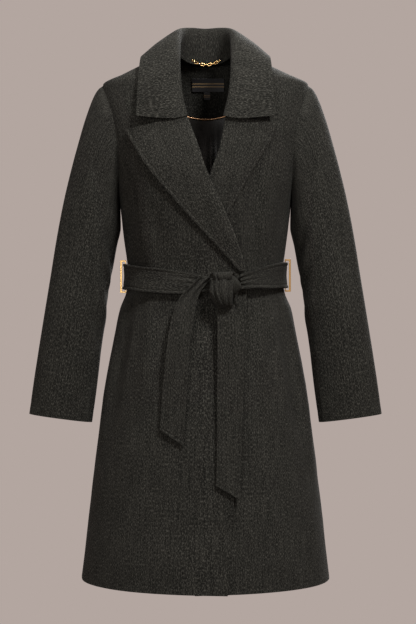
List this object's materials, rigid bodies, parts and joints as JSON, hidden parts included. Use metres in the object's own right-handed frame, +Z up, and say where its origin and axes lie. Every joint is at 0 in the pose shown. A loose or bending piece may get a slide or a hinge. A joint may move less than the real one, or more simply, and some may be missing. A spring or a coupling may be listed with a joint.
{
  "type": "wrap coat",
  "caption": "Knee-length wool wrap coat with peaked lapels, two-piece sleeves and a knotted belt, filled out as worn and open at neck, cuffs and hem.",
  "frame": {"origin": "neck base: the middle of the line through the two points where the shoulder seams meet the collar", "axes": "+Z up, the front faces -Y, +X is the wearer's left"},
  "size_m": [0.634, 0.3077, 1.0071],
  "materials": {
    "charcoal_wool": "brushed melange wool, matt",
    "black_satin": "satin lining",
    "label_satin": "woven satin label",
    "gold_piping": "satin piping",
    "gold_metal": "polished gold plate"
  },
  "bodies": {
    "root": {"back": "charcoal_wool", "right_front": "charcoal_wool", "left_front": "charcoal_wool", "right_top_sleeve": "charcoal_wool", "right_under_sleeve": "charcoal_wool", "left_top_sleeve": "charcoal_wool", "left_under_sleeve": "charcoal_wool", "right_lapel": "charcoal_wool", "left_lapel": "charcoal_wool", "collar": "charcoal_wool", "back_neck_facing": "charcoal_wool", "back_lining": "black_satin", "belt_right_front": "charcoal_wool", "belt_left_front": "charcoal_wool", "belt_back": "charcoal_wool", "belt_knot": "charcoal_wool", "belt_short_end": "charcoal_wool", "belt_long_end": "charcoal_wool", "right_belt_ring": "gold_metal", "left_belt_ring": "gold_metal", "hanger_link_1": "gold_metal", "hanger_link_2": "gold_metal", "hanger_link_3": "gold_metal", "hanger_link_4": "gold_metal", "hanger_link_5": "gold_metal", "hanger_link_6": "gold_metal", "hanger_link_7": "gold_metal", "hanger_link_8": "gold_metal", "hanger_link_9": "gold_metal", "main_label": "label_satin", "size_tab": "label_satin", "gold_piping": "gold_piping"}
  },
  "joints": []
}
